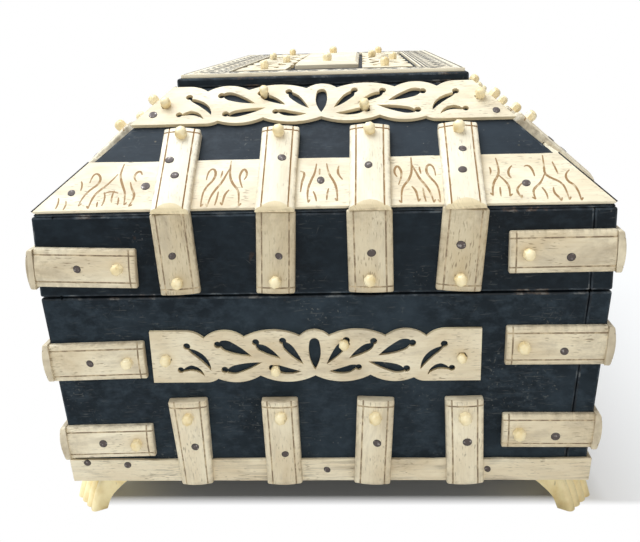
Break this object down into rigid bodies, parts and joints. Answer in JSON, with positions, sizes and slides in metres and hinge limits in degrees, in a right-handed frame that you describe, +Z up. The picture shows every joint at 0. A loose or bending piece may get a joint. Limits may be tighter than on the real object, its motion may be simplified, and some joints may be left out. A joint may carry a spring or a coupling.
{
  "type": "jewelry box",
  "caption": "Sarcophagus-shaped wooden casket with a hipped, back-hinged lid, clad in pegged bone straps, pierced scalloped bone bands and engraved strips, on splayed reeded bone feet.",
  "frame": {"origin": "on the ground, in the middle of the casket, between the soles of the four feet", "axes": "+X along the casket's length, to the right of someone facing its front; +Y to the back, where the hinges are; +Z up"},
  "size_m": [0.267, 0.181, 0.1452],
  "materials": {
    "painted_wood": "worn blue-black paint on wood",
    "bare_wood": "bare, darkened with age",
    "bone": "polished bone, incised lines darkened",
    "pegs": "polished bone",
    "feet": "polished bone, yellowed",
    "hinges": "aged brass",
    "screws": "aged brass"
  },
  "bodies": {
    "box": {"base_straps_back": "bone", "base_straps_front": "bone", "base_straps_left": "bone", "base_straps_right": "bone", "box_back_board": "painted_wood", "box_bottom_board": "bare_wood", "box_fret_back": "bone", "box_fret_front": "bone", "box_fret_left": "bone", "box_fret_right": "bone", "box_front_board": "painted_wood", "box_left_board": "painted_wood", "box_lower_corner_straps": "bone", "box_pegs": "pegs", "box_right_board": "painted_wood", "box_upper_corner_straps": "bone", "foot_back_left": "feet", "foot_back_right": "feet", "foot_front_left": "feet", "foot_front_right": "feet", "hinge_box_leaves": "hinges", "hinge_box_screws": "screws", "hinge_pins": "hinges", "plinth_back": "bone", "plinth_front": "bone", "plinth_left": "bone", "plinth_right": "bone"},
    "lid": {"band_straps_back": "bone", "band_straps_front": "bone", "band_straps_left": "bone", "band_straps_right": "bone", "engraved_strip_back": "bone", "engraved_strip_front": "bone", "engraved_strip_left": "bone", "engraved_strip_right": "bone", "hinge_lid_leaves": "hinges", "hinge_lid_screws": "screws", "lid_back_board": "painted_wood", "lid_back_slope": "painted_wood", "lid_corner_straps": "bone", "lid_front_board": "painted_wood", "lid_front_slope": "painted_wood", "lid_left_board": "painted_wood", "lid_left_slope": "painted_wood", "lid_pegs": "pegs", "lid_right_board": "painted_wood", "lid_right_slope": "painted_wood", "lid_top_board": "painted_wood", "slope_fret_back": "bone", "slope_fret_front": "bone", "slope_fret_left": "bone", "slope_fret_right": "bone", "slope_straps_back": "bone", "slope_straps_front": "bone", "slope_straps_left": "bone", "slope_straps_right": "bone", "top_border": "bone", "top_frets": "bone", "top_plaque": "bone"}
  },
  "joints": [
    {"name": "lid_hinge", "type": "hinge", "parent": "box", "child": "lid", "pos_m": [0, 0.0868, 0.0782], "axis": [-1, 0, 0], "range_deg": [0, 105]}
  ]
}
